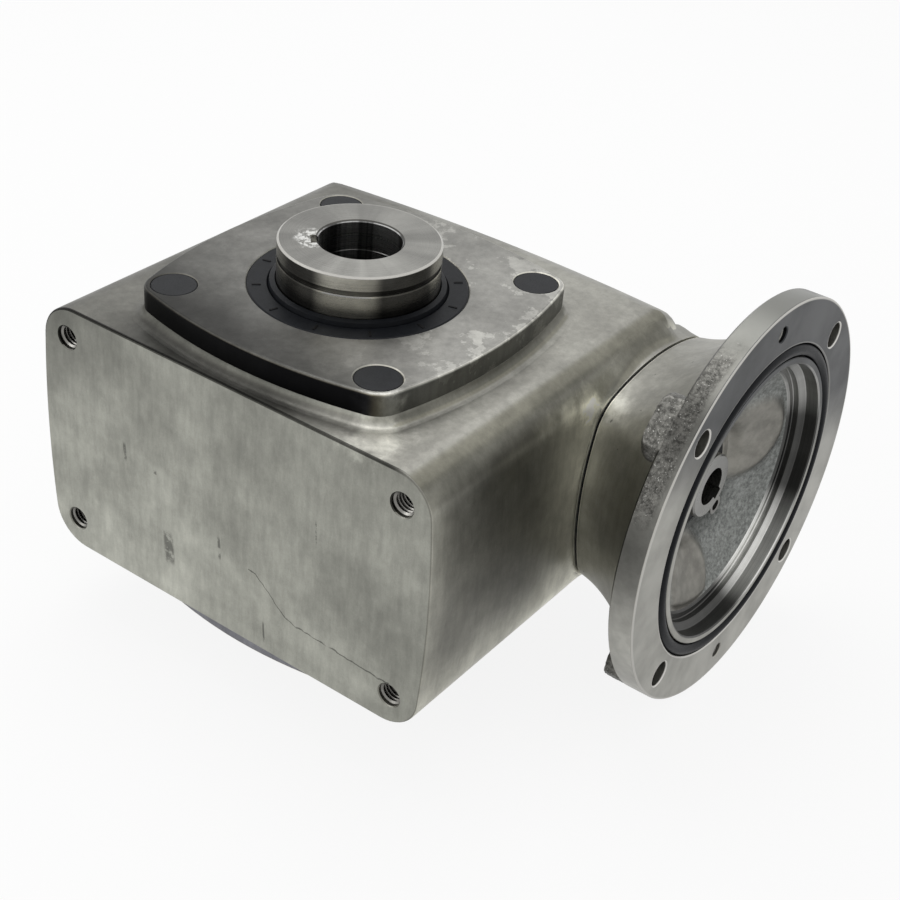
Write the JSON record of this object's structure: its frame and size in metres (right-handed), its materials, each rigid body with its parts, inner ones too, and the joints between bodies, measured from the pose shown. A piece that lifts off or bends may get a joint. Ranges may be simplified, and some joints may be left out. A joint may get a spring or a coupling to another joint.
{
  "type": "speed reducer",
  "caption": "Right-angle worm speed reducer with a keyed hollow output shaft, a round motor flange with an open bell, and a flat tapped base.",
  "frame": {"origin": "on the output shaft's axis, at half the height of the housing", "axes": "+Z along the output bore, +X along the worm towards the motor flange, +Y from the output axis to the worm; the tapped base faces -Y"},
  "size_m": [0.2392, 0.2244, 0.1716],
  "materials": {
    "cast_stainless": "cast and blasted, satin",
    "cover_stainless": "cast and blasted, satin",
    "shaft_stainless": "turned",
    "black_rubber": "matt",
    "plug_black": "satin",
    "wheel_bronze": "machined",
    "race_steel": "ground",
    "ball_steel": "polished",
    "cage_brass": "machined",
    "dark_steel": "black oxide"
  },
  "bodies": {
    "frame": {"housing": "cast_stainless", "adapter": "cast_stainless", "cover_top": "cover_stainless", "cover_bottom": "cover_stainless", "end_cap": "cover_stainless", "output_seal_top": "black_rubber", "output_seal_bottom": "black_rubber", "input_seal": "black_rubber", "flange_o_ring": "black_rubber", "cover_o_ring_top": "black_rubber", "cover_o_ring_bottom": "black_rubber", "end_cap_o_ring": "black_rubber", "adapter_gasket": "black_rubber", "screw_plugs_top": "plug_black", "screw_plugs_bottom": "plug_black", "output_outer_race_top": "race_steel", "output_outer_race_bottom": "race_steel", "worm_outer_race_front": "race_steel", "worm_outer_race_rear": "race_steel", "output_balls_top": "ball_steel", "output_balls_bottom": "ball_steel", "worm_balls_front": "ball_steel", "worm_balls_rear": "ball_steel", "output_cage_top": "cage_brass", "output_cage_bottom": "cage_brass", "worm_cage_front": "cage_brass", "worm_cage_rear": "cage_brass", "cover_screws_top": "dark_steel", "cover_screws_bottom": "dark_steel", "end_cap_ring": "dark_steel", "oil_plugs": "dark_steel"},
    "output": {"output_shaft": "shaft_stainless", "worm_wheel": "wheel_bronze", "wheel_key": "dark_steel", "wheel_screws": "dark_steel", "wheel_spacer": "dark_steel", "shaft_ring_top": "dark_steel", "shaft_ring_bottom": "dark_steel", "output_inner_race_top": "race_steel", "output_inner_race_bottom": "race_steel"},
    "input": {"worm_shaft": "shaft_stainless", "worm_inner_race_front": "race_steel", "worm_inner_race_rear": "race_steel"}
  },
  "joints": [
    {"name": "output_spin", "type": "hinge", "parent": "frame", "child": "output", "pos_m": [0, 0, 0], "axis": [0, 0, 1], "continuous": true},
    {"name": "input_spin", "type": "hinge", "parent": "frame", "child": "input", "pos_m": [0, 0.06667, 0], "axis": [1, 0, 0], "continuous": true}
  ],
  "couplings": [
    {"joint": "input_spin", "follows": "output_spin", "ratio": 20}
  ]
}
